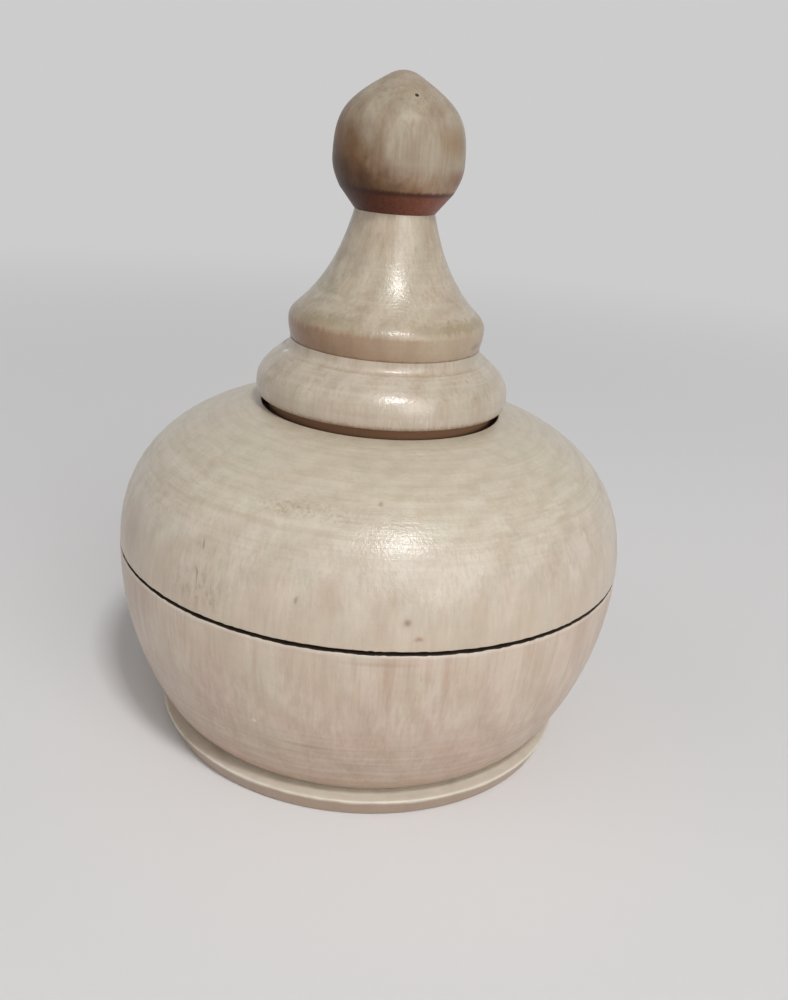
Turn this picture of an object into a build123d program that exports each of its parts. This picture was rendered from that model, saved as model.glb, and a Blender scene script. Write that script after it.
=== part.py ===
from build123d import *
import os
from math import asin, cos, degrees, radians, sin, tan

# Turned wooden kumkum box: a footed bowl, a domed lid and a plug-in finial made of three turnings.
# Every piece is a solid of revolution about +Z. The origin is the centre of the foot's underside.
# Sizes are in millimetres. In each profile, X is the radius and Y is the height above the table.

# Foot of the bowl
foot_inset = 5.8
foot_height = 2.7
foot_under_taper = 1.2
foot_ledge = 2.9
foot_base_round = 0.6
foot_edge_round = 0.4
foot_ring_width = 7.0
foot_recess_depth = 0.8

# Belly, shared by the bowl and the lid
belly_radius = 35.1
shoulder_height = 27.15
seam_gap = 0.55
seam_edge_round = 0.15
bowl_side_radius = 42.3
bowl_tuck_height = 3.3

# Hollow of the bowl and the spigot that carries the lid
rim_wall = 2.8
spigot_wall = 2.5
spigot_height = 4.3
spigot_lead = 0.5
bowl_floor = 6.5
hollow_corner = 14.0
lid_fit = 0.12

# Dome of the lid
dome_rise = 19.4
dome_side_handle = 11.0
dome_crown_handle = 11.55
dome_crown_angle = 10.0
crown_edge_round = 0.25

# Stepped mouth in the crown of the lid and the plug that closes it
plug_radius = 15.3
plug_fit = 0.12
plug_lead = 0.6
mouth_step = 0.8
mouth_step_depth = 1.6
mouth_depth = 4.3
mouth_ledge = 1.8
ledge_thickness = 2.0

# Collar, the lowest turning of the finial
collar_radius = 17.1
collar_lift = 1.15
collar_low_inset = 0.6
collar_nose_rise = 1.55
collar_side_handle = 2.2
collar_dome_rise = 6.15
collar_dome_handle = 2.0
collar_dome_angle = 40.0
collar_neck_inset = 3.2
collar_height = 7.65
collar_land = 0.1

# Bell, the flared middle turning
bell_radius = 13.15
bell_under_taper = 0.45
bell_nose_rise = 2.7
bell_nose_inset = 0.95
bell_nose_height = 4.4
bell_flare_angle = 42.0
bell_flare_handle = 5.0
bell_height = 17.05
waist_radius = 5.25
waist_angle = 76.0
waist_handle = 5.2

# Ball, the top turning, drawn up to a blunt point
ball_radius = 8.47
ball_nose_rise = 6.3
ball_height = 16.95
ball_neck_flare = 2.1
ball_neck_rise = 2.6
ball_low_angle = 62.0
ball_low_handle = 1.5
ball_side_handle = 1.4
ball_shoulder_handle = 5.4
ball_tip_angle = 31.0
ball_tip_handle = 7.3
ball_tip_round = 1.2

# Glued tenons that hold the three turnings of the finial together
glue_line = 0.05
tenon_relief = 0.4
bell_tenon_radius = 6.0
bell_tenon_length = 5.6
ball_tenon_radius = 2.6
ball_tenon_length = 6.0

# How near an edge must lie to the place where it is looked for
tolerance = 0.0001

# A quarter of a turn, in degrees
quarter_turn = 90

# Places that follow from the sizes above
foot_radius = belly_radius - foot_inset
spigot_radius = belly_radius - rim_wall
hollow_radius = spigot_radius - spigot_wall
corner_centre = hollow_radius - hollow_corner
spigot_top = shoulder_height + spigot_height
lid_low = shoulder_height + seam_gap
crown_top = lid_low + dome_rise
ledge_height = crown_top - mouth_depth
hollow_top = ledge_height - ledge_thickness
collar_low = crown_top + collar_lift
bell_low = collar_low + collar_height
waist_height = bell_low + bell_height
ball_top = waist_height + ball_height


def polar(point, length, angle):
    """The point at a length and an angle, in degrees above +X, from another point."""
    return (point[0] + length * cos(radians(angle)), point[1] + length * sin(radians(angle)))


def ring_edges(part, radius, height):
    """The circular edges of a part at one radius and one height."""
    return part.edges().filter_by(GeomType.CIRCLE).filter_by(
        lambda edge: abs(edge.radius - radius) < tolerance
        and abs(edge.arc_center.Z - height) < tolerance
    )


# Bowl: foot ring, belly, shoulder, spigot and a rounded hollow
foot_base_radius = foot_radius - foot_under_taper
recess_radius = foot_base_radius - foot_ring_width
foot_crease = (foot_radius - foot_ledge, foot_height)
bowl_side_drop = shoulder_height - foot_height - bowl_tuck_height
bowl_side_centre = (belly_radius - bowl_side_radius, shoulder_height)
bowl_side_angle = degrees(asin(bowl_side_drop / bowl_side_radius))
bowl_tuck = polar(bowl_side_centre, bowl_side_radius, -bowl_side_angle)
with BuildPart() as bowl:
    with BuildSketch(Plane.XZ):
        with BuildLine():
            Polyline(
                (0, bowl_floor),
                (0, foot_recess_depth),
                (recess_radius, foot_recess_depth),
                (recess_radius + foot_recess_depth, 0),
                (foot_base_radius, 0),
                (foot_radius, foot_height),
                foot_crease,
            )
            TangentArc(
                bowl_tuck,
                foot_crease,
                tangent=(-sin(radians(bowl_side_angle)), -cos(radians(bowl_side_angle))),
            )
            CenterArc(bowl_side_centre, bowl_side_radius, -bowl_side_angle, bowl_side_angle)
            Polyline(
                (belly_radius, shoulder_height),
                (spigot_radius, shoulder_height),
                (spigot_radius, spigot_top),
                (hollow_radius, spigot_top),
                (hollow_radius, bowl_floor + hollow_corner),
            )
            CenterArc((corner_centre, bowl_floor + hollow_corner), hollow_corner, -quarter_turn, quarter_turn)
            Line((corner_centre, bowl_floor), (0, bowl_floor))
        make_face()
    revolve(axis=Axis.Z)
    fillet(ring_edges(bowl, foot_base_radius, 0), foot_base_round)
    fillet(ring_edges(bowl, foot_radius, foot_height), foot_edge_round)
    fillet(ring_edges(bowl, belly_radius, shoulder_height), seam_edge_round)
    chamfer(ring_edges(bowl, spigot_radius, spigot_top), spigot_lead)
bowl.part.label = "bowl"

# Lid: dome, rebate that drops over the spigot, rounded hollow, and the stepped mouth
rebate_radius = spigot_radius + lid_fit
mouth_radius = plug_radius + plug_fit
crown_radius = mouth_radius + mouth_step
through_radius = mouth_radius - mouth_ledge
dome_edge = (belly_radius, lid_low)
crown_edge = (crown_radius, crown_top)
with BuildPart() as lid:
    with BuildSketch(Plane.XZ):
        with BuildLine():
            Bezier(
                dome_edge,
                (belly_radius, lid_low + dome_side_handle),
                polar(crown_edge, dome_crown_handle, -dome_crown_angle),
                crown_edge,
            )
            Polyline(
                crown_edge,
                (crown_radius, crown_top - mouth_step_depth),
                (mouth_radius, crown_top - mouth_step_depth),
                (mouth_radius, ledge_height),
                (through_radius, ledge_height),
                (through_radius, hollow_top),
                (corner_centre, hollow_top),
            )
            EllipticalCenterArc(
                (corner_centre, spigot_top),
                hollow_corner,
                hollow_top - spigot_top,
                start_angle=0,
                arc_size=quarter_turn,
            )
            Polyline(
                (hollow_radius, spigot_top),
                (rebate_radius, spigot_top),
                (rebate_radius, lid_low),
                dome_edge,
            )
        make_face()
    revolve(axis=Axis.Z)
    fillet(ring_edges(lid, belly_radius, lid_low), seam_edge_round)
    fillet(ring_edges(lid, crown_radius, crown_top), crown_edge_round)
lid.part.label = "lid"

# Collar: plug below, rounded moulding above, socket for the bell's tenon
bell_foot_radius = bell_radius - bell_under_taper
collar_low_edge = (collar_radius - collar_low_inset, collar_low)
collar_nose = (collar_radius, collar_low + collar_nose_rise)
collar_dome_edge = (collar_radius - collar_neck_inset, collar_low + collar_dome_rise)
collar_land_edge = (bell_foot_radius + collar_land, bell_low)
with BuildPart() as collar:
    with BuildSketch(Plane.XZ):
        with BuildLine():
            Polyline(
                (0, bell_low),
                (0, ledge_height),
                (plug_radius, ledge_height),
                (plug_radius, collar_low),
                collar_low_edge,
            )
            Bezier(collar_low_edge, (collar_radius, collar_low), collar_nose)
            Bezier(
                collar_nose,
                (collar_radius, collar_nose[1] + collar_side_handle),
                polar(collar_dome_edge, collar_dome_handle, -collar_dome_angle),
                collar_dome_edge,
            )
            Bezier(
                collar_dome_edge,
                (collar_land_edge[0], collar_dome_edge[1]),
                collar_land_edge,
            )
            Line(collar_land_edge, (0, bell_low))
        make_face()
    revolve(axis=Axis.Z)
    with Locations((0, 0, bell_low)):
        Hole(bell_tenon_radius + glue_line, depth=bell_tenon_length + tenon_relief)
    chamfer(ring_edges(collar, plug_radius, ledge_height), plug_lead)
collar.part.label = "finial_collar"

# Bell: tenon below, rounded rim, concave flare up to the waist, socket for the ball's tenon
bell_foot = (bell_foot_radius, bell_low)
bell_nose = (bell_radius, bell_low + bell_nose_rise)
bell_flare = (bell_radius - bell_nose_inset, bell_low + bell_nose_height)
bell_nose_corner = bell_flare[1] - bell_nose_inset * tan(radians(bell_flare_angle))
bell_waist = (waist_radius, waist_height)
bell_tenon_low = bell_low - bell_tenon_length
with BuildPart() as bell:
    with BuildSketch(Plane.XZ):
        with BuildLine():
            Polyline(
                (0, waist_height),
                (0, bell_tenon_low),
                (bell_tenon_radius, bell_tenon_low),
                (bell_tenon_radius, bell_low),
                bell_foot,
            )
            Bezier(bell_foot, (bell_radius, (bell_low + bell_nose[1]) / 2), bell_nose)
            Bezier(bell_nose, (bell_radius, bell_nose_corner), bell_flare)
            Bezier(
                bell_flare,
                polar(bell_flare, bell_flare_handle, 2 * quarter_turn - bell_flare_angle),
                polar(bell_waist, waist_handle, -waist_angle),
                bell_waist,
            )
            Line(bell_waist, (0, waist_height))
        make_face()
    revolve(axis=Axis.Z)
    with Locations((0, 0, waist_height)):
        Hole(ball_tenon_radius + glue_line, depth=ball_tenon_length + tenon_relief)
bell.part.label = "finial_bell"

# Ball: tenon below, conical neck, round body drawn up to the blunt point
ball_neck = (waist_radius + ball_neck_flare, waist_height + ball_neck_rise)
ball_nose = (ball_radius, waist_height + ball_nose_rise)
ball_tip = (0, ball_top)
ball_tip_corner = (ball_tip_round * cos(radians(ball_tip_angle)), ball_top)
ball_tip_edge = polar(ball_tip_corner, ball_tip_round, -ball_tip_angle)
ball_tenon_low = waist_height - ball_tenon_length
with BuildPart() as ball:
    with BuildSketch(Plane.XZ):
        with BuildLine():
            Polyline(
                ball_tip,
                (0, ball_tenon_low),
                (ball_tenon_radius, ball_tenon_low),
                (ball_tenon_radius, waist_height),
                bell_waist,
                ball_neck,
            )
            Bezier(
                ball_neck,
                polar(ball_neck, ball_low_handle, ball_low_angle),
                (ball_radius, ball_nose[1] - ball_side_handle),
                ball_nose,
            )
            Bezier(
                ball_nose,
                (ball_radius, ball_nose[1] + ball_shoulder_handle),
                polar(ball_tip_corner, ball_tip_handle, -ball_tip_angle),
                ball_tip_edge,
            )
            Bezier(ball_tip_edge, ball_tip_corner, ball_tip)
        make_face()
    revolve(axis=Axis.Z)
ball.part.label = "finial_ball"

os.makedirs("parts", exist_ok=True)
for piece in (bowl, lid, collar, bell, ball):
    export_step(piece.part, f"parts/{piece.part.label}.step")
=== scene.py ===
"""A turned ivory-wood kumkum box: five lathe turnings with their grain, tool lines, shellac and wear.

Each turning is spun from its profile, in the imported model's frame, and rides on the body that carries it.
Profiles are in millimetres, with the radius first and the height above the table second.
"""

import math

import bpy
from mathutils import Matrix, Vector


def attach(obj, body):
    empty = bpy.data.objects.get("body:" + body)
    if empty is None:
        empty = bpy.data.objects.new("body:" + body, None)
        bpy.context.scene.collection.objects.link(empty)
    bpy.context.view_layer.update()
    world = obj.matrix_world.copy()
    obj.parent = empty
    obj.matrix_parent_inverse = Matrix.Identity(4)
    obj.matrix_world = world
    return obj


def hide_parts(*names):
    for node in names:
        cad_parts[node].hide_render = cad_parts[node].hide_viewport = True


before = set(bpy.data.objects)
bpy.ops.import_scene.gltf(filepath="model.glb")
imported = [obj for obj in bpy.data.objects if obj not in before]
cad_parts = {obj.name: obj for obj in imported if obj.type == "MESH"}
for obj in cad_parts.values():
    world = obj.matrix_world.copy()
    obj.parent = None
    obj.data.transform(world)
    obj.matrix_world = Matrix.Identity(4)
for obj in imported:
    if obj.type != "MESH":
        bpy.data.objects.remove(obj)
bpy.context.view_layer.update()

MM = 0.001
SPIN_STEPS = 420
CURVE_STEPS = 14

# Angles in degrees: a bend below the first is straight, and an edge above the second stays sharp
STRAIGHT_ANGLE = 0.1
SHARP_ANGLE = 32

# Distance in millimetres below which points are merged
MERGE_DISTANCE = 0.001

# Room for rounding, in millimetres, where faces and points are told apart by their place
TINY = 0.02

# Handles of a quarter circle, as a share of its radius
QUARTER = 0.5523

# Length after which a wave texture repeats at a scale of 1
WAVE_PERIOD = 0.3142

# Foot, belly and hollow of the bowl
foot_radius = 29.3
foot_height = 2.7
foot_base_radius = 28.1
foot_crease_radius = 26.4
foot_recess_radius = 21.1
foot_recess_depth = 0.8
foot_ease = 0.45
belly_radius = 35.1
shoulder_height = 27.15
seam_ease = 0.15
seam_crumb = 0.45
seam_fray = 0.24
bowl_side_radius = 42.3
bowl_tuck_height = 6.0
spigot_radius = 32.3
spigot_top = 31.45
spigot_lead = 0.5
hollow_radius = 29.8
hollow_corner = 14.0
bowl_floor = 6.5

# Dome, rebate and stepped mouth of the lid
lid_low = 27.7
rebate_radius = 32.42
crown_radius = 16.22
crown_top = 47.1
crown_ease = 0.25
dome_side_handle = 11.0
dome_crown_handle = 11.55
dome_crown_angle = 10.0
mouth_radius = 15.42
mouth_step_height = 45.5
mouth_ledge_height = 42.8
through_radius = 13.62
hollow_top = 40.8

# Collar
plug_radius = 15.3
plug_lead = 0.6
collar_radius = 17.1
collar_low = 48.25
collar_low_inset = 0.6
collar_nose_height = 49.8
collar_side_handle = 2.2
collar_dome_edge = (13.9, 54.4)
collar_dome_handle = 2.0
collar_dome_angle = 40.0
collar_land_radius = 12.8
bell_low = 55.9
bell_socket_radius = 6.05
bell_socket_depth = 6.0

# Bell
bell_foot_radius = 12.7
bell_radius = 13.15
bell_nose_height = 58.6
bell_flare_edge = (12.2, 60.3)
bell_flare_angle = 42.0
bell_flare_handle = 5.0
bell_tenon_radius = 6.0
bell_tenon_length = 5.6
waist_radius = 5.25
waist_height = 72.95
waist_angle = 76.0
waist_handle = 5.2
ball_socket_radius = 2.65
ball_socket_depth = 6.4

# Ball
ball_radius = 8.47
ball_nose_height = 79.25
ball_top = 89.9
ball_neck_edge = (7.35, 75.55)
ball_low_angle = 62.0
ball_low_handle = 1.5
ball_side_handle = 1.4
ball_shoulder_handle = 5.4
ball_tip_angle = 31.0
ball_tip_handle = 7.3
ball_tip_round = 1.2
ball_tenon_radius = 2.6
ball_tenon_length = 6.0
pinhole = (1.6, -5.12, 87.07)
pinhole_width = 0.7
pinhole_rise = 3.0


def polar(point, length, angle):
    """The point at a length and an angle, in degrees above the radius, from another point."""
    turned = math.radians(angle)
    return (point[0] + length * math.cos(turned), point[1] + length * math.sin(turned))


def towards(start, end, share):
    """The point at a share of the way from one point to another."""
    return (start[0] + (end[0] - start[0]) * share, start[1] + (end[1] - start[1]) * share)


class Profile:
    """A turning's outline: Bezier points with their two handles."""

    def __init__(self, *start):
        self.points = [[start, start, start]]

    def to(self, *end):
        """A straight run."""
        start = self.points[-1][1]
        return self.bend(towards(start, end, 1 / 3), towards(start, end, 2 / 3), end)

    def bend(self, handle_out, handle_in, end):
        """A curve that leaves along one handle and arrives along the other."""
        self.points[-1][2] = handle_out
        self.points.append([handle_in, end, end])
        return self

    def ease(self, corner, end):
        """A rounded corner."""
        start = self.points[-1][1]
        return self.bend(towards(start, corner, 2 / 3), towards(end, corner, 2 / 3), end)


def activate(piece):
    """Selects one piece alone."""
    bpy.ops.object.select_all(action="DESELECT")
    piece.select_set(True)
    bpy.context.view_layer.objects.active = piece


def turn(name, profile, closed=False):
    """Spins a profile about the box's axis into a turning."""
    bpy.ops.object.select_all(action="DESELECT")
    bpy.ops.curve.primitive_bezier_curve_add(location=(0, 0, 0))
    piece = bpy.context.object
    piece.name = name
    piece.data.dimensions = "3D"
    piece.data.resolution_u = CURVE_STEPS
    spline = piece.data.splines[0]
    spline.use_cyclic_u = closed
    points = profile.points[:-1] if closed else profile.points
    if closed:
        points[0][0] = profile.points[-1][0]
    spline.bezier_points.add(len(points) - len(spline.bezier_points))
    for knot, (left, middle, right) in zip(spline.bezier_points, points):
        knot.handle_left_type = knot.handle_right_type = "FREE"
        knot.handle_left, knot.co, knot.handle_right = (
            (radius * MM, 0, height * MM) for radius, height in (left, middle, right)
        )
    bpy.ops.object.convert(target="MESH")
    bpy.ops.object.mode_set(mode="EDIT")
    bpy.ops.mesh.select_all(action="SELECT")
    bpy.ops.mesh.dissolve_limited(angle_limit=math.radians(STRAIGHT_ANGLE))
    bpy.ops.mesh.select_all(action="SELECT")
    bpy.ops.mesh.spin(steps=SPIN_STEPS, angle=math.tau, center=(0, 0, 0), axis=(0, 0, 1))
    bpy.ops.mesh.select_all(action="SELECT")
    bpy.ops.mesh.remove_doubles(threshold=MERGE_DISTANCE * MM)
    bpy.ops.mesh.normals_make_consistent(inside=False)
    bpy.ops.object.mode_set(mode="OBJECT")
    bpy.ops.object.shade_smooth_by_angle(angle=math.radians(SHARP_ANGLE))
    return piece


def fray(piece, low, high):
    """Roughens one edge of the seam, where the lid and the bowl have rubbed each other."""
    edge = piece.vertex_groups.new(name="seam_edge")
    inside = belly_radius - seam_ease - TINY
    edge.add([
        point.index
        for point in piece.data.vertices
        if low - TINY < point.co.z / MM < high + TINY and math.hypot(point.co.x, point.co.y) / MM > inside
    ], 1, "REPLACE")
    crumbs = bpy.data.textures.new("seam_crumbs", "CLOUDS")
    crumbs.noise_scale = seam_crumb * MM
    crumbs.noise_depth = 2
    activate(piece)
    bpy.ops.object.modifier_add(type="DISPLACE")
    wear = piece.modifiers[-1]
    wear.texture = crumbs
    wear.texture_coords = "LOCAL"
    wear.direction = "Z"
    wear.strength = seam_fray * MM
    wear.mid_level = 0.5
    wear.vertex_group = edge.name
    bpy.ops.object.modifier_apply(modifier=wear.name)


def pierce(piece, centre, width, rise):
    """Drills a tapered pinhole, outwards from the axis and with some rise, as the surface there faces."""
    hole_at = Vector(centre) * MM
    bpy.ops.mesh.primitive_cone_add(
        vertices=24, radius1=width / 2 * MM, radius2=width / 4 * MM, depth=width * 3 * MM, location=hole_at
    )
    pin = bpy.context.object
    pin.rotation_mode = "QUATERNION"
    pin.rotation_quaternion = Vector((hole_at.x, hole_at.y, rise * MM)).to_track_quat("-Z", "Y")
    activate(piece)
    bpy.ops.object.modifier_add(type="BOOLEAN")
    hole = piece.modifiers[-1]
    hole.operation = "DIFFERENCE"
    hole.solver = "EXACT"
    hole.object = pin
    bpy.ops.object.modifier_apply(modifier=hole.name)
    activate(pin)
    bpy.ops.object.delete()


def make_bowl():
    """Foot, belly, spigot and hollow, from the middle of the underside round to the middle of the floor."""
    crease = (foot_crease_radius, foot_height)
    drop = math.degrees(math.asin((shoulder_height - bowl_tuck_height) / bowl_side_radius))
    side_centre = (belly_radius - bowl_side_radius, shoulder_height)
    tuck = polar(side_centre, bowl_side_radius, -drop)
    chord = math.dist(tuck, crease)
    chord_angle = math.degrees(math.atan2(tuck[1] - crease[1], tuck[0] - crease[0]))
    turn_angle = 2 * (90 - drop - chord_angle)
    tuck_radius = chord / (2 * math.sin(math.radians(turn_angle / 2)))
    tuck_handle = 4 / 3 * math.tan(math.radians(turn_angle / 4)) * tuck_radius
    side_handle = 4 / 3 * math.tan(math.radians(drop / 4)) * bowl_side_radius
    corner_centre = hollow_radius - hollow_corner
    foot_edge = (foot_radius, foot_height)
    foot_base = (foot_base_radius, 0)
    profile = Profile(0, foot_recess_depth)
    profile.to(foot_recess_radius, foot_recess_depth)
    profile.to(foot_recess_radius + foot_recess_depth, 0)
    profile.to(foot_base_radius - foot_ease, 0)
    profile.ease(foot_base, towards(foot_base, foot_edge, foot_ease / math.dist(foot_base, foot_edge)))
    profile.to(*towards(foot_edge, foot_base, foot_ease / math.dist(foot_base, foot_edge)))
    profile.ease(foot_edge, (foot_radius - foot_ease, foot_height))
    profile.to(*crease)
    profile.bend(
        polar(crease, tuck_handle, 90 - drop - turn_angle),
        polar(tuck, tuck_handle, 270 - drop),
        tuck,
    )
    profile.bend(
        polar(tuck, side_handle, 90 - drop),
        (belly_radius, shoulder_height - side_handle),
        (belly_radius, shoulder_height - seam_ease),
    )
    profile.ease((belly_radius, shoulder_height), (belly_radius - seam_ease, shoulder_height))
    profile.to(spigot_radius, shoulder_height)
    profile.to(spigot_radius, spigot_top - spigot_lead)
    profile.to(spigot_radius - spigot_lead, spigot_top)
    profile.to(hollow_radius, spigot_top)
    profile.to(hollow_radius, bowl_floor + hollow_corner)
    profile.bend(
        (hollow_radius, bowl_floor + hollow_corner * (1 - QUARTER)),
        (corner_centre + hollow_corner * QUARTER, bowl_floor),
        (corner_centre, bowl_floor),
    )
    profile.to(0, bowl_floor)
    piece = turn("turned_bowl", profile)
    fray(piece, shoulder_height - seam_ease, shoulder_height)
    return piece


def make_lid():
    """Dome, stepped mouth, hollow and rebate, as one closed ring."""
    crown = (crown_radius, crown_top)
    corner_centre = hollow_radius - hollow_corner
    hollow_rise = hollow_top - spigot_top
    profile = Profile(belly_radius, lid_low + seam_ease)
    profile.bend(
        (belly_radius, lid_low + dome_side_handle),
        polar(crown, dome_crown_handle, -dome_crown_angle),
        polar(crown, crown_ease, -dome_crown_angle),
    )
    profile.ease(crown, (crown_radius, crown_top - crown_ease))
    profile.to(crown_radius, mouth_step_height)
    profile.to(mouth_radius, mouth_step_height)
    profile.to(mouth_radius, mouth_ledge_height)
    profile.to(through_radius, mouth_ledge_height)
    profile.to(through_radius, hollow_top)
    profile.to(corner_centre, hollow_top)
    profile.bend(
        (corner_centre + hollow_corner * QUARTER, hollow_top),
        (hollow_radius, spigot_top + hollow_rise * QUARTER),
        (hollow_radius, spigot_top),
    )
    profile.to(rebate_radius, spigot_top)
    profile.to(rebate_radius, lid_low)
    profile.to(belly_radius - seam_ease, lid_low)
    profile.ease((belly_radius, lid_low), (belly_radius, lid_low + seam_ease))
    piece = turn("turned_lid", profile, closed=True)
    fray(piece, lid_low, lid_low + seam_ease)
    return piece


def make_collar():
    """Plug, bun-shaped moulding and the socket for the bell."""
    low_edge = (collar_radius - collar_low_inset, collar_low)
    nose = (collar_radius, collar_nose_height)
    land = (collar_land_radius, bell_low)
    profile = Profile(0, mouth_ledge_height)
    profile.to(plug_radius - plug_lead, mouth_ledge_height)
    profile.to(plug_radius, mouth_ledge_height + plug_lead)
    profile.to(plug_radius, collar_low)
    profile.to(*low_edge)
    profile.ease((collar_radius, collar_low), nose)
    profile.bend(
        (collar_radius, collar_nose_height + collar_side_handle),
        polar(collar_dome_edge, collar_dome_handle, -collar_dome_angle),
        collar_dome_edge,
    )
    profile.ease((collar_land_radius, collar_dome_edge[1]), land)
    profile.to(bell_socket_radius, bell_low)
    profile.to(bell_socket_radius, bell_low - bell_socket_depth)
    profile.to(0, bell_low - bell_socket_depth)
    return turn("turned_collar", profile)


def make_bell():
    """Tenon, flared bell and the socket for the ball."""
    foot = (bell_foot_radius, bell_low)
    nose = (bell_radius, bell_nose_height)
    nose_inset = bell_radius - bell_flare_edge[0]
    nose_corner = bell_flare_edge[1] - nose_inset * math.tan(math.radians(bell_flare_angle))
    waist = (waist_radius, waist_height)
    profile = Profile(0, bell_low - bell_tenon_length)
    profile.to(bell_tenon_radius, bell_low - bell_tenon_length)
    profile.to(bell_tenon_radius, bell_low)
    profile.to(*foot)
    profile.ease((bell_radius, (bell_low + bell_nose_height) / 2), nose)
    profile.ease((bell_radius, nose_corner), bell_flare_edge)
    profile.bend(
        polar(bell_flare_edge, bell_flare_handle, 180 - bell_flare_angle),
        polar(waist, waist_handle, -waist_angle),
        waist,
    )
    profile.to(ball_socket_radius, waist_height)
    profile.to(ball_socket_radius, waist_height - ball_socket_depth)
    profile.to(0, waist_height - ball_socket_depth)
    return turn("turned_bell", profile)


def make_ball():
    """Tenon, neck and a ball drawn up to a blunt point, with its pinhole."""
    waist = (waist_radius, waist_height)
    nose = (ball_radius, ball_nose_height)
    tip_corner = (ball_tip_round * math.cos(math.radians(ball_tip_angle)), ball_top)
    profile = Profile(0, waist_height - ball_tenon_length)
    profile.to(ball_tenon_radius, waist_height - ball_tenon_length)
    profile.to(ball_tenon_radius, waist_height)
    profile.to(*waist)
    profile.to(*ball_neck_edge)
    profile.bend(
        polar(ball_neck_edge, ball_low_handle, ball_low_angle),
        (ball_radius, ball_nose_height - ball_side_handle),
        nose,
    )
    profile.bend(
        (ball_radius, ball_nose_height + ball_shoulder_handle),
        polar(tip_corner, ball_tip_handle, -ball_tip_angle),
        polar(tip_corner, ball_tip_round, -ball_tip_angle),
    )
    profile.ease(tip_corner, (0, ball_top))
    piece = turn("turned_ball", profile)
    pierce(piece, pinhole, pinhole_width, pinhole_rise)
    return piece


def linear(colour):
    """A hex sRGB colour as linear RGBA."""
    channels = [int(colour[at:at + 2], 16) / 255 for at in (1, 3, 5)]
    return (*(c / 12.92 if c <= 0.04045 else ((c + 0.055) / 1.055) ** 2.4 for c in channels), 1)


def plug(tree, node, inputs):
    """Sets a node's inputs, each to a value or to another node's output."""
    for key, value in inputs.items():
        if isinstance(value, bpy.types.NodeSocket):
            tree.links.new(value, node.inputs[key])
        else:
            node.inputs[key].default_value = value


def add(tree, kind, inputs, out=0, **settings):
    """Adds a node with its settings and its inputs, and gives one of its outputs."""
    node = tree.nodes.new(kind)
    for key, value in settings.items():
        setattr(node, key, value)
    plug(tree, node, inputs)
    return node.outputs[out]


def begin(name):
    """A new material, with its node tree and its shader."""
    made = bpy.data.materials.new(name)
    made.use_nodes = True
    return made, made.node_tree, made.node_tree.nodes["Principled BSDF"]


def measure(tree):
    """Places on a piece in millimetres: the point, its three parts and its distance from the axis."""
    place = add(tree, "ShaderNodeTexCoord", {}, out="Object")
    place = add(tree, "ShaderNodeMapping", {"Vector": place, "Scale": (1 / MM, 1 / MM, 1 / MM)})
    apart = add(tree, "ShaderNodeSeparateXYZ", {"Vector": place}).node.outputs
    flat = add(tree, "ShaderNodeVectorMath", {0: place, 1: (1, 1, 0)}, operation="MULTIPLY")
    radius = add(tree, "ShaderNodeVectorMath", {0: flat}, out="Value", operation="LENGTH")
    return place, apart, radius


def streaks(tree, place, seed, across, along, detail=3.0):
    """Soft streaks along the grain, of a width and a length in millimetres."""
    stretched = add(
        tree, "ShaderNodeMapping", {"Vector": place, "Scale": (1 / across, 1 / across, 1 / along)}
    )
    return add(
        tree,
        "ShaderNodeTexNoise",
        {"Vector": stretched, "W": seed, "Scale": 1, "Detail": detail, "Roughness": 0.55},
        noise_dimensions="4D",
    )


def spot(tree, place, centre, size, strength):
    """A soft oval patch about one place on a piece, with its half sizes in millimetres."""
    offset = add(
        tree, "ShaderNodeMapping", {"Vector": place, "Location": centre, "Scale": size}, vector_type="TEXTURE"
    )
    distance = add(tree, "ShaderNodeVectorMath", {0: offset}, out="Value", operation="LENGTH")
    return add(
        tree,
        "ShaderNodeMapRange",
        {"Value": distance, "From Min": 1, "From Max": 0, "To Max": strength},
        interpolation_type="SMOOTHSTEP",
    )


def stained(tree, colour, layers):
    """Lays stains over a colour in turn, each with its share and its hue."""
    for share, hue in layers:
        hue = linear(hue) if isinstance(hue, str) else hue
        colour = add(tree, "ShaderNodeMixRGB", {"Fac": share, "Color1": colour, "Color2": hue})
    return colour


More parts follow.
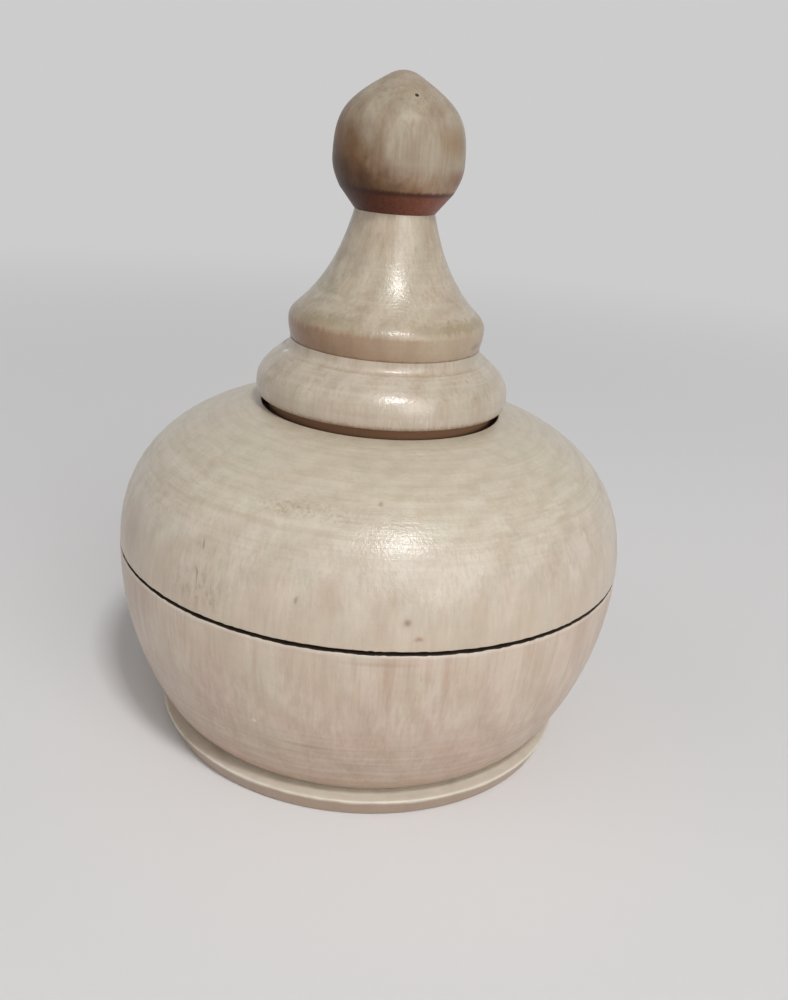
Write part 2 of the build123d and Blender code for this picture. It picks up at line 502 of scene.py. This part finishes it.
def ivory_wood(name, seed, olive, pink, fibre, tooling, specular, coat, stain):
    """Ivory wood, turned between centres, sanded on the lathe and wiped with thin shellac.

    The eye sees a close pale grain along the axis, short dark vessels, faint growth rings, tool lines round
    the piece, olive and pinkish clouds where it was handled, and a satin skin whose highlights break into
    flecks. The tool lines fade in from one height to another, up to a strength, and the coat of shellac has
    a weight and a roughness.
    """
    wood, tree, shader = begin(name)
    place, apart, radius = measure(tree)
    tool_start, tool_full, tool_strength = tooling
    coat_weight, coat_roughness = coat

    # Clouds about 9 mm wide, olive in places and pinkish in others
    clouds = streaks(tree, place, seed, 8, 10, detail=6)
    clouds = add(tree, "ShaderNodeMapRange", {"Value": clouds, "From Min": 0.36, "From Max": 0.64})

    # Growth rings about 3.4 mm apart, round a pith that lies beside the piece and leans a little
    pith = add(
        tree,
        "ShaderNodeMapping",
        {"Vector": place, "Location": (9 + seed, 14 - seed, 0), "Rotation": (0.09, -0.06, 0)},
    )
    rings = add(
        tree,
        "ShaderNodeTexWave",
        {"Vector": pith, "Scale": WAVE_PERIOD / 3.4, "Distortion": 5, "Detail": 2, "Detail Scale": 0.9},
        wave_type="RINGS",
        rings_direction="Z",
    )
    rings = add(tree, "ShaderNodeMapRange", {"Value": rings, "From Min": 0.4, "From Max": 1, "To Max": 0.24})

    # Fibres, drawn about half a millimetre wide so that they show, and gathered in bundles
    fibres = streaks(tree, place, seed + 1, 0.5, 9, detail=4)
    bundles = streaks(tree, place, seed + 2, 2.4, 22)
    dark = add(tree, "ShaderNodeMath", {0: fibres, 1: bundles}, operation="ADD")
    dark = add(tree, "ShaderNodeMapRange", {"Value": dark, "From Min": 0.9, "From Max": 1.32, "To Max": 0.55})

    # Tool lines about a millimetre apart, with finer ones among them, that come and go round the piece
    around = add(tree, "ShaderNodeCombineXYZ", {"X": radius, "Z": apart["Z"]})
    drift = streaks(tree, place, seed + 3, 11, 11, detail=1)
    drift = add(tree, "ShaderNodeMath", {0: drift, 1: 4, 2: seed}, operation="MULTIPLY_ADD")
    lines = add(
        tree,
        "ShaderNodeTexNoise",
        {"Vector": around, "W": drift, "Scale": 1 / 0.8, "Detail": 3, "Roughness": 0.7},
        noise_dimensions="4D",
    )
    tool_share = {"From Min": tool_start, "From Max": tool_full, "To Min": 0.12, "To Max": tool_strength}
    turned = add(
        tree, "ShaderNodeMapRange", {"Value": apart["Z"], **tool_share}, interpolation_type="SMOOTHSTEP"
    )
    grooves = add(
        tree, "ShaderNodeMapRange", {"Value": lines, "From Min": 0.49, "From Max": 0.68, "To Max": 0.52}
    )
    grooves = add(tree, "ShaderNodeMath", {0: grooves, 1: turned}, operation="MULTIPLY")
    ridges = add(
        tree, "ShaderNodeMapRange", {"Value": lines, "From Min": 0.49, "From Max": 0.32, "To Max": 0.42}
    )
    ridges = add(tree, "ShaderNodeMath", {0: ridges, 1: turned}, operation="MULTIPLY")

    # Vessels: dark dashes, drawn about 0.2 mm wide and 1.5 mm long so that they show
    vessels = streaks(tree, place, seed + 4, 0.22, 1.7, detail=1)
    vessels = add(
        tree, "ShaderNodeMapRange", {"Value": vessels, "From Min": 0.69, "From Max": 0.8, "To Max": 0.25}
    )

    # Specks of 0.1 to 0.4 mm, a few in each square centimetre
    flaws = add(
        tree,
        "ShaderNodeTexVoronoi",
        {"Vector": place, "W": seed, "Scale": 1 / 2.8},
        voronoi_dimensions="4D",
    ).node.outputs
    size = add(tree, "ShaderNodeSeparateColor", {"Color": flaws["Color"]}, out="Red")
    size = add(tree, "ShaderNodeMapRange", {"Value": size, "From Min": 0.86, "From Max": 1, "To Max": 0.13})
    specks = add(
        tree,
        "ShaderNodeMapRange",
        {"Value": flaws["Distance"], "From Min": size, "From Max": 0, "To Max": 0.55},
        interpolation_type="SMOOTHSTEP",
    )
    colour = stained(tree, linear(olive), [
        (clouds, pink),
        (rings, fibre),
        (dark, fibre),
        (grooves, "#A09478"),
        (ridges, "#DAD3C3"),
        (vessels, "#75614B"),
        (specks, "#6B5C4A"),
    ])
    colour = stain(tree, place, apart, seed, colour)

    # Mottling of 2 to 4 mm, a few hundredths lighter and darker
    mottle = streaks(tree, place, seed + 9, 2.0, 3.6, detail=5)
    mottle = add(
        tree,
        "ShaderNodeMapRange",
        {"Value": mottle, "From Min": 0.3, "From Max": 0.7, "To Min": 0.93, "To Max": 1.05},
    )
    colour = add(tree, "ShaderNodeVectorMath", {0: colour, "Scale": mottle}, operation="SCALE")

    # The tool lines stand about 0.03 mm deep, among dimples of half a millimetre and the vessels' fine pits
    dimples = streaks(tree, place, seed + 8, 0.34, 0.5, detail=2)
    relief = add(tree, "ShaderNodeMath", {0: lines, 1: turned}, operation="MULTIPLY")
    for part, weight in ((fibres, 0.3), (dimples, 0.62), (vessels, -0.9)):
        relief = add(tree, "ShaderNodeMath", {0: part, 1: weight, 2: relief}, operation="MULTIPLY_ADD")
    bumps = add(tree, "ShaderNodeBump", {"Height": relief, "Strength": 1, "Distance": 0.07 * MM})
    rough = add(tree, "ShaderNodeMapRange", {"Value": dimples, "To Min": 0.46, "To Max": 0.32})
    plug(tree, shader, {
        "Base Color": colour,
        "Roughness": rough,
        "Normal": bumps,
        "Coat Normal": bumps,
        "Specular IOR Level": specular,
        "Coat Weight": coat_weight,
        "Coat Roughness": coat_roughness,
    })
    return wood


def stain_bowl(tree, place, apart, seed, colour):
    """Brown streaks in front, a low side warmed with painted bounce light, a painted highlight under the
    seam, a foot ledge lightened with painted light, and a foot with a browner edge.
    """
    streaked = streaks(tree, place, seed + 5, 0.8, 10)
    streaked = add(tree, "ShaderNodeMapRange", {"Value": streaked, "From Min": 0.5, "From Max": 0.72})
    front = spot(tree, place, (7, -34, 21), (17, 17, 12), 0.42)
    front = add(tree, "ShaderNodeMath", {0: streaked, 1: front}, operation="MULTIPLY")
    cloudy = streaks(tree, place, seed + 6, 6, 6)
    # Painted bounce light: the low side is warmed as if lit by reddish light from below
    low = add(tree, "ShaderNodeMath", {0: cloudy, 1: 9, 2: apart["Z"]}, operation="MULTIPLY_ADD")
    low = add(tree, "ShaderNodeMapRange", {"Value": low, "From Min": 22, "From Max": 9, "To Max": 0.46})

    # Grey and brown rubs and one pale chip, each with its centre, half sizes, strength and hue
    marks = [
        (spot(tree, place, centre, size, strength), hue)
        for centre, size, strength, hue in (
            ((-5.5, -31.7, 12.3), (6.5, 5, 0.45), 0.5, "#A08A7C"),
            ((-8.5, -31.2, 10.9), (4.5, 5, 0.35), 0.45, "#A08A7C"),
            ((1.5, -31.5, 9.6), (7, 5, 0.35), 0.4, "#A68C7C"),
            ((2.0, -34.8, 26.0), (7.5, 4, 0.5), 0.35, "#A98A75"),
            ((-12.4, -30.9, 14.8), (0.5, 1, 0.4), 0.7, "#E2DACE"),
        )
    ]
    # Painted highlight: a pale line just under the seam, where the shoulder's rounded edge catches the light
    painted_shoulder_highlight = add(tree, "ShaderNodeMath", {0: cloudy, 1: 0.9, 2: apart["Z"]}, operation="MULTIPLY_ADD")
    painted_shoulder_highlight_range = {"From Min": shoulder_height - 0.05, "From Max": shoulder_height + 0.35, "To Max": 0.45}
    painted_shoulder_highlight = add(tree, "ShaderNodeMapRange", {"Value": painted_shoulder_highlight, **painted_shoulder_highlight_range})
    # Painted light: the foot's ledge is lightened where it faces up into the light
    painted_lit_ledge_range = {"From Min": foot_height + 0.7, "From Max": foot_height + 0.1, "To Max": 0.9}
    painted_lit_ledge = add(tree, "ShaderNodeMapRange", {"Value": apart["Z"], **painted_lit_ledge_range})
    edge = add(tree, "ShaderNodeMath", {0: cloudy, 1: 1.2, 2: apart["Z"]}, operation="MULTIPLY_ADD")
    edge_range = {"From Min": foot_height + 0.5, "From Max": foot_height, "To Max": 0.7}
    edge = add(tree, "ShaderNodeMapRange", {"Value": edge, **edge_range})
    return stained(tree, colour, [
        (front, "#AD8672"),
        (low, "#B28B78"),
        *marks,
        (painted_shoulder_highlight, "#DCD4C8"),
        (painted_lit_ledge, "#DAD3C4"),
        (edge, "#916D51"),
    ])


def stain_lid(tree, place, apart, seed, colour):
    """An olive crown, a pinkish belly, a ring of dark scuffs, a small knot and a hairline crack."""
    cloudy = streaks(tree, place, seed + 5, 7, 6)
    level = add(tree, "ShaderNodeMath", {0: cloudy, 1: 9, 2: apart["Z"]}, operation="MULTIPLY_ADD")
    crown = add(tree, "ShaderNodeMapRange", {"Value": level, "From Min": 41, "From Max": 50, "To Max": 0.6})
    belly = add(tree, "ShaderNodeMapRange", {"Value": level, "From Min": 40, "From Max": 32, "To Max": 0.6})

    # Scuffs and a smudge, in short strokes with ragged ends
    ragged = add(
        tree,
        "ShaderNodeTexNoise",
        {"Vector": place, "W": seed, "Scale": 1 / 1.4, "Detail": 2},
        out="Color",
        noise_dimensions="4D",
    )
    ragged = add(tree, "ShaderNodeVectorMath", {0: ragged, 1: place}, operation="ADD")
    dashes = streaks(tree, place, seed + 6, 0.4, 0.8, detail=2)
    dashes = add(tree, "ShaderNodeMapRange", {"Value": dashes, "From Min": 0.48, "From Max": 0.66})
    scuffed = spot(tree, ragged, (-8.0, -27.2, 42.0), (11, 5, 1.5), 0.5)
    dashes = add(tree, "ShaderNodeMath", {0: dashes, 1: scuffed}, operation="MULTIPLY")
    smudge = streaks(tree, place, seed + 7, 0.7, 1.4)
    smudge = add(tree, "ShaderNodeMapRange", {"Value": smudge, "From Min": 0.46, "From Max": 0.66})
    smudged = spot(tree, ragged, (-19.0, -28.5, 31.2), (7, 7, 4), 0.75)
    smudge = add(tree, "ShaderNodeMath", {0: smudge, 1: smudged}, operation="MULTIPLY")

    # Patches, the round knot, specks and cracks, each with its centre, half sizes, strength and hue. The
    # first patch is painted shade on the lid's left edge.
    marks = [
        (spot(tree, where, centre, size, strength), hue)
        for where, centre, size, strength, hue in (
            (ragged, (-30.0, -16.0, 33.0), (5, 6, 6), 0.5, "#A78D76"),
            (ragged, (-3.6, -33.6, 34.0), (2.6, 2.6, 3.4), 0.4, "#B4967F"),
            (place, (4.95, -34.4, 31.3), (1.4, 1.6, 1.4), 0.5, "#B39F8A"),
            (place, (4.95, -34.4, 31.3), (0.65, 1.2, 0.65), 0.75, "#87735E"),
            (ragged, (6.9, -33.9, 29.8), (0.8, 1.2, 0.6), 0.75, "#A67E5E"),
            (ragged, (-19.0, -26.7, 36.6), (0.2, 1.4, 1.0), 0.6, "#6F6354"),
            (ragged, (-19.5, -27.6, 33.0), (0.2, 1.6, 1.9), 0.65, "#6F6354"),
            (ragged, (1.3, -26.9, 43.2), (0.45, 1.0, 0.45), 0.7, "#8F7F66"),
            (ragged, (-7.3, -33.1, 33.2), (0.35, 1.0, 0.6), 0.7, "#8A7A68"),
        )
    ]
    return stained(tree, colour, [
        (crown, "#C7BCA5"),
        (belly, "#C8B49F"),
        (dashes, "#8E8164"),
        (smudge, "#A18C79"),
        *marks,
    ])


def stain_collar(tree, place, apart, seed, colour):
    """Olive smudges on one side, a pinkish low part with pale flecks, a ragged brown low edge and a small
    chip with a painted glint.
    """
    cloudy = streaks(tree, place, seed + 5, 1.8, 2.2)
    cloudy = add(tree, "ShaderNodeMapRange", {"Value": cloudy, "From Min": 0.42, "From Max": 0.64})
    side = spot(tree, place, (-14.5, -8, 51.5), (8, 10, 5), 0.75)
    side = add(tree, "ShaderNodeMath", {0: cloudy, 1: side}, operation="MULTIPLY")
    low_range = {"From Min": collar_low + 3.75, "From Max": collar_low + 0.35, "To Max": 0.5}
    low = add(tree, "ShaderNodeMapRange", {"Value": apart["Z"], **low_range})
    grain = streaks(tree, place, seed + 6, 0.3, 1.6, detail=2)
    flecks = add(tree, "ShaderNodeMapRange", {"Value": grain, "From Min": 0.52, "From Max": 0.7})
    front = spot(tree, place, (6, -16.5, 49.4), (9, 6, 1.2), 0.55)
    flecks = add(tree, "ShaderNodeMath", {0: flecks, 1: front}, operation="MULTIPLY")
    edge = add(tree, "ShaderNodeMath", {0: grain, 1: 0.9, 2: apart["Z"]}, operation="MULTIPLY_ADD")
    edge_range = {"From Min": collar_low + 1.05, "From Max": collar_low + 0.45, "To Max": 0.75}
    edge = add(tree, "ShaderNodeMapRange", {"Value": edge, **edge_range})
    # Painted highlight: a small white glint on a chip near the top, on the left
    painted_chip_glint = spot(tree, place, (-13.0, -4.2, 54.5), (0.7, 0.7, 0.6), 0.9)
    return stained(tree, colour, [
        (side, "#94886C"),
        (low, "#C5B3A3"),
        (flecks, "#DDD2C4"),
        (edge, "#7F5A3E"),
        (painted_chip_glint, "#E8E4DA"),
    ])


def stain_bell(tree, place, apart, seed, colour):
    """A ragged low band, brown to pinkish, with an olive line above it, grey rubs, a red scuff and painted
    shade along the joint with the collar.
    """
    cloudy = streaks(tree, place, seed + 5, 2.2, 1.8)
    rubs = add(
        tree, "ShaderNodeMapRange", {"Value": cloudy, "From Min": 0.46, "From Max": 0.62, "To Max": 0.5}
    )
    left = add(tree, "ShaderNodeMapRange", {"Value": apart["X"], "From Min": 1, "From Max": -6})
    rubs = add(tree, "ShaderNodeMath", {0: rubs, 1: left}, operation="MULTIPLY")
    grain = streaks(tree, place, seed + 6, 0.45, 2.4, detail=3)
    level = add(tree, "ShaderNodeMath", {0: cloudy, 1: 1.2, 2: apart["Z"]}, operation="MULTIPLY_ADD")
    level = add(tree, "ShaderNodeMath", {0: grain, 1: 2.4, 2: level}, operation="MULTIPLY_ADD")
    line_height = add(tree, "ShaderNodeCombineXYZ", {"Z": level})
    line = spot(tree, line_height, (0, 0, bell_nose_height + 3.1), (1, 1, 1.1), 1)
    sides = add(tree, "ShaderNodeMath", {0: apart["X"]}, operation="ABSOLUTE")
    sides = add(tree, "ShaderNodeMapRange", {"Value": sides, "From Min": 1.5, "From Max": 8, "To Max": 0.7})
    line = add(tree, "ShaderNodeMath", {0: line, 1: sides}, operation="MULTIPLY")
    across = add(tree, "ShaderNodeMapRange", {"Value": apart["X"], "From Min": -9, "From Max": 7})
    band_hue = stained(tree, linear("#855932"), [(across, "#AE967C")])
    band_range = {"From Min": bell_nose_height + 3, "From Max": bell_nose_height + 1.8, "To Max": 0.75}
    band = add(tree, "ShaderNodeMapRange", {"Value": level, **band_range})
    # Painted shade: a dark line at the bell's foot, where it meets the collar
    painted_joint_shade = add(tree, "ShaderNodeMath", {0: grain, 1: 0.5, 2: apart["Z"]}, operation="MULTIPLY_ADD")
    painted_joint_shade_range = {"From Min": bell_low + 0.55, "From Max": bell_low + 0.25, "To Max": 0.7}
    painted_joint_shade = add(tree, "ShaderNodeMapRange", {"Value": painted_joint_shade, **painted_joint_shade_range})
    scuff = spot(tree, place, (11.9, -5.6, 57.2), (1.6, 2.8, 0.7), 0.9)
    scuff = add(tree, "ShaderNodeMath", {0: scuff, 1: grain}, operation="MULTIPLY")
    return stained(tree, colour, [
        (rubs, "#8F846A"),
        (line, "#8F7E5C"),
        (band, band_hue),
        (painted_joint_shade, "#6B4634"),
        (scuff, "#7A2F26"),
    ])


def stain_ball(tree, place, apart, seed, colour):
    """A brown handling stain, deepest low on one side, streaks above the crease, and a red-brown neck."""
    crease_height = ball_neck_edge[1]
    grain = streaks(tree, place, seed + 6, 0.35, 2.6, detail=3)
    drips = add(tree, "ShaderNodeMath", {0: grain, 1: 5, 2: apart["Z"]}, operation="MULTIPLY_ADD")
    drips_range = {"From Min": crease_height + 5.75, "From Max": crease_height + 2.75, "To Max": 0.58}
    drips = add(tree, "ShaderNodeMapRange", {"Value": drips, **drips_range})

    # Two layers of stain, each with its slant, where it starts and is full, its strength and its hue
    cloudy = streaks(tree, place, seed + 5, 1.9, 2.6, detail=4)
    handled = []
    for slant, start, full, strength, hue in (
        ((0.95, 0, 0.75), 64.2, 58.2, 0.92, "#6B4A29"),
        ((0.55, 0, 1), 80.6, 76.4, 0.9, "#37170A"),
    ):
        share = add(tree, "ShaderNodeVectorMath", {0: place, 1: slant}, out="Value", operation="DOT_PRODUCT")
        share = add(tree, "ShaderNodeMath", {0: cloudy, 1: 7, 2: share}, operation="MULTIPLY_ADD")
        share_range = {"From Min": start, "From Max": full, "To Max": strength}
        share = add(tree, "ShaderNodeMapRange", {"Value": share, **share_range})
        handled.append((share, hue))
    patches = [
        (spot(tree, place, centre, size, 0.65), hue)
        for centre, size, hue in (
            ((6.8, -4.8, 82.0), (3.2, 5, 2.6), "#8A6B4A"),
            ((7.6, -3.4, 77.6), (3.2, 5, 1.8), "#784833"),
        )
    ]

    # The neck is darker on one side and along the crease, and uneven with the grain
    across = add(tree, "ShaderNodeMapRange", {"Value": apart["X"], "From Min": -4, "From Max": 5})
    neck_hue = stained(tree, linear("#46200F"), [(across, "#7F4637")])
    uneven_range = {"From Min": 0.3, "From Max": 0.7, "To Min": 0.7, "To Max": 1.3}
    uneven = add(tree, "ShaderNodeMapRange", {"Value": grain, **uneven_range})
    neck_hue = add(tree, "ShaderNodeVectorMath", {0: neck_hue, "Scale": uneven}, operation="SCALE")
    neck = add(tree, "ShaderNodeMath", {0: grain, 1: 1.2, 2: apart["Z"]}, operation="MULTIPLY_ADD")
    neck_range = {"From Min": crease_height + 1.15, "From Max": crease_height + 0.35, "To Max": 0.92}
    neck = add(tree, "ShaderNodeMapRange", {"Value": neck, **neck_range})
    level = add(tree, "ShaderNodeMath", {0: grain, 1: 0.5, 2: apart["Z"]}, operation="MULTIPLY_ADD")
    level = add(tree, "ShaderNodeCombineXYZ", {"Z": level})
    crease = spot(tree, level, (0, 0, crease_height + 0.3), (1, 1, 0.5), 0.8)
    return stained(tree, colour, [
        (drips, "#935F3A"),
        *handled,
        *patches,
        (neck, neck_hue),
        (crease, "#35160C"),
    ])


def raw_wood():
    """The same wood left bare off the tool, in hollows and seats: browner, dull and a little fuzzy, with
    painted shade in the seam and the mouth's step.
    """
    wood, tree, shader = begin("raw_turned_wood")
    place, apart, radius = measure(tree)
    clouds = streaks(tree, place, 31, 7, 9)
    clouds = add(tree, "ShaderNodeMapRange", {"Value": clouds, "From Min": 0.35, "From Max": 0.65})
    fibres = streaks(tree, place, 32, 0.45, 6, detail=4)
    dark = add(
        tree, "ShaderNodeMapRange", {"Value": fibres, "From Min": 0.48, "From Max": 0.72, "To Max": 0.55}
    )

    # Painted shade deep in the seam and in the mouth's step, and a browner plug wall that is partly grime and
    # partly painted shade where it sits in the gap, each with its place, half sizes, most and hue
    radius = add(tree, "ShaderNodeMath", {0: clouds, 1: 0.5, 2: radius}, operation="MULTIPLY_ADD")
    section = add(tree, "ShaderNodeCombineXYZ", {"X": radius, "Z": apart["Z"]})
    painted_shade_and_grime = []
    for centre, size, most, hue in (
        ((belly_radius, 0, lid_low), (2.4, 1, 2.4), 0.94, "#211915"),
        ((plug_radius + 0.4, 0, collar_low - 0.5), (1.6, 1, 3.0), 0.85, "#966B4B"),
        ((plug_radius + 0.3, 0, mouth_step_height), (1.6, 1, 1.7), 0.85, "#33231A"),
    ):
        share = spot(tree, section, centre, size, 3)
        share = add(tree, "ShaderNodeMath", {0: share, 1: most}, operation="MINIMUM")
        painted_shade_and_grime.append((share, hue))
    colour = stained(tree, linear("#B79C7E"), [(clouds, "#A68A6B"), (dark, "#80634A"), *painted_shade_and_grime])
    bumps = add(tree, "ShaderNodeBump", {"Height": fibres, "Strength": 1, "Distance": 0.05 * MM})
    plug(tree, shader, {"Base Color": colour, "Roughness": 0.68, "Normal": bumps})
    return wood


def bare(piece, unfinished):
    """Gives the raw wood to the faces left unfinished, by their radius, height and outward lean."""
    for face in piece.data.polygons:
        radius = math.hypot(face.center.x, face.center.y)
        outward = (face.normal.x * face.center.x + face.normal.y * face.center.y) / radius
        if unfinished(radius / MM, face.center.z / MM, outward):
            face.material_index = 1


# The cut of wood that each turning is made from, by the node that the turning replaces
woods = {
    "bowl": ivory_wood(
        "ivory_wood_of_bowl",
        seed=2.0,
        olive="#CDC0AD",
        pink="#CEBAAA",
        fibre="#B0947E",
        tooling=(17, 9, 0.8),
        specular=0.4,
        coat=(0.2, 0.2),
        stain=stain_bowl,
    ),
    "lid": ivory_wood(
        "ivory_wood_of_lid",
        seed=5.0,
        olive="#C9C0AE",
        pink="#CCBFB0",
        fibre="#AD967E",
        tooling=(34, 42, 1),
        specular=0.45,
        coat=(0.45, 0.22),
        stain=stain_lid,
    ),
    "finial_collar": ivory_wood(
        "ivory_wood_of_collar",
        seed=8.0,
        olive="#BBB19C",
        pink="#BFB09E",
        fibre="#9A8369",
        tooling=(47, 48, 0.42),
        specular=0.6,
        coat=(0.7, 0.22),
        stain=stain_collar,
    ),
    "finial_bell": ivory_wood(
        "ivory_wood_of_bell",
        seed=11.0,
        olive="#B7AD97",
        pink="#BBAB97",
        fibre="#927B62",
        tooling=(72, 64, 0.4),
        specular=0.5,
        coat=(0.55, 0.22),
        stain=stain_bell,
    ),
    "finial_ball": ivory_wood(
        "handled_ivory_wood_of_ball",
        seed=14.0,
        olive="#A79C87",
        pink="#A49583",
        fibre="#7D6249",
        tooling=(92, 94, 0),
        specular=0.25,
        coat=(0.12, 0.42),
        stain=stain_ball,
    ),
}

# The faces that the turner leaves unfinished: hollows, seats, sockets and tenons
seats = {
    "bowl": lambda radius, height, outward: (
        (height > shoulder_height - seam_ease and radius < belly_radius - seam_ease)
        or (height > bowl_floor - TINY and outward < TINY)
        or (height < foot_recess_depth + TINY and radius < foot_recess_radius + foot_recess_depth)
    ),
    "lid": lambda radius, height, outward: (
        outward < -TINY
        or (outward < TINY and height < mouth_step_height + TINY and radius < rebate_radius)
    ),
    "finial_collar": lambda radius, height, outward: (
        height < collar_low - TINY or radius < bell_socket_radius + TINY
    ),
    "finial_bell": lambda radius, height, outward: (
        height < bell_low - TINY or radius < ball_socket_radius + TINY
    ),
    "finial_ball": lambda radius, height, outward: height < waist_height - TINY,
}

# Each turning with its body and its material slot
pieces = {
    "bowl": (make_bowl(), "bowl", "turned_wood_bowl"),
    "lid": (make_lid(), "lid", "turned_wood_lid"),
    "finial_collar": (make_collar(), "finial", "turned_wood_collar"),
    "finial_bell": (make_bell(), "finial", "turned_wood_bell"),
    "finial_ball": (make_ball(), "finial", "turned_wood_ball"),
}
raw = raw_wood()
for node, (piece, body, slot) in pieces.items():
    piece.data.materials.append(woods[node])
    piece.data.materials.append(raw)
    bare(piece, seats[node])
    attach(piece, body)
    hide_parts(node)

# Camera at the photograph's angle
LENS_PIXELS = 1050
PICTURE_HEIGHT = 1000
camera_at = Vector((0, -140.43, 86.3)) * MM
camera_pitch = math.radians(20.79)
camera_yaw = math.radians(1.22)
camera_roll = math.radians(4.76)
forward = Vector((
    math.sin(camera_yaw) * math.cos(camera_pitch),
    math.cos(camera_yaw) * math.cos(camera_pitch),
    -math.sin(camera_pitch),
))
level_right = Vector((math.cos(camera_yaw), -math.sin(camera_yaw), 0))
level_up = level_right.cross(forward)
right = level_right * math.cos(camera_roll) + level_up * math.sin(camera_roll)
up = level_up * math.cos(camera_roll) - level_right * math.sin(camera_roll)
bpy.ops.object.camera_add()
camera = bpy.context.object
camera.data.sensor_width = 36
camera.data.lens = camera.data.sensor_width * LENS_PIXELS / PICTURE_HEIGHT
camera.data.clip_start = 0.01
camera.matrix_world = Matrix.Translation(camera_at) @ Matrix((right, up, -forward)).transposed().to_4x4()
bpy.context.scene.camera = camera


def backdrop_rays(tree):
    """One for a ray that shows the backdrop itself: from the camera, in a reflection or through glass."""
    kinds = add(tree, "ShaderNodeLightPath", {}).node.outputs
    seen = kinds["Is Camera Ray"]
    for kind in ("Is Glossy Ray", "Is Transmission Ray"):
        seen = add(tree, "ShaderNodeMath", {0: seen, 1: kinds[kind]}, operation="MAXIMUM")
    return seen


# Pale studio: a matt floor that fades into the backdrop's colour, and an even world
BACKDROP = "#CDCCCC"
WORLD_LIGHT = 0.45
FLOOR_RADIUS = 3
FADE_START = 0.12
FADE_END = 0.5
bpy.context.scene.view_settings.view_transform = "Standard"
world = bpy.data.worlds.new("studio")
bpy.context.scene.world = world
world.use_nodes = True
tree = world.node_tree
strength = add(
    tree, "ShaderNodeMapRange", {"Value": backdrop_rays(tree), "To Min": WORLD_LIGHT, "To Max": 1}
)
plug(tree, tree.nodes["Background"], {"Color": linear(BACKDROP), "Strength": strength})

bpy.ops.object.select_all(action="DESELECT")
bpy.ops.mesh.primitive_circle_add(vertices=96, radius=FLOOR_RADIUS, fill_type="NGON")
floor = bpy.context.object
floor.name = "floor"
paint, tree, shader = begin("matt_pale_paint")
plug(tree, shader, {"Base Color": linear("#E6E5E5"), "Roughness": 0.9})
place = add(tree, "ShaderNodeTexCoord", {}, out="Object")
reach = add(tree, "ShaderNodeVectorMath", {0: place}, out="Value", operation="LENGTH")
far = add(
    tree,
    "ShaderNodeMapRange",
    {"Value": reach, "From Min": FADE_START, "From Max": FADE_END},
    interpolation_type="SMOOTHSTEP",
)
fade = add(tree, "ShaderNodeMath", {0: far, 1: backdrop_rays(tree)}, operation="MULTIPLY")
glow = add(tree, "ShaderNodeEmission", {"Color": linear(BACKDROP), "Strength": 1})
faded = add(tree, "ShaderNodeMixShader", {0: fade, 1: shader.outputs[0], 2: glow})
plug(tree, tree.nodes["Material Output"], {"Surface": faded})
floor.data.materials.append(paint)


def lamp(name, azimuth, elevation, distance, size, power):
    """A square soft box that faces the middle of the kumkum box, with its angles in degrees."""
    middle = Vector((0, 0, 40)) * MM
    side, rise = math.radians(azimuth), math.radians(elevation)
    way = Vector((math.sin(side) * math.cos(rise), -math.cos(side) * math.cos(rise), math.sin(rise)))
    bpy.ops.object.light_add(type="AREA", location=middle + way * distance)
    made = bpy.context.object
    made.name = name
    made.data.size = size
    made.data.energy = power
    made.rotation_mode = "QUATERNION"
    made.rotation_quaternion = (-way).to_track_quat("-Z", "Y")


lamp("key", azimuth=19, elevation=54, distance=1.2, size=0.17, power=6)
lamp("front_fill", azimuth=30, elevation=26, distance=1.4, size=0.9, power=7)
lamp("side_fill", azimuth=-70, elevation=35, distance=1.3, size=0.9, power=1.4)
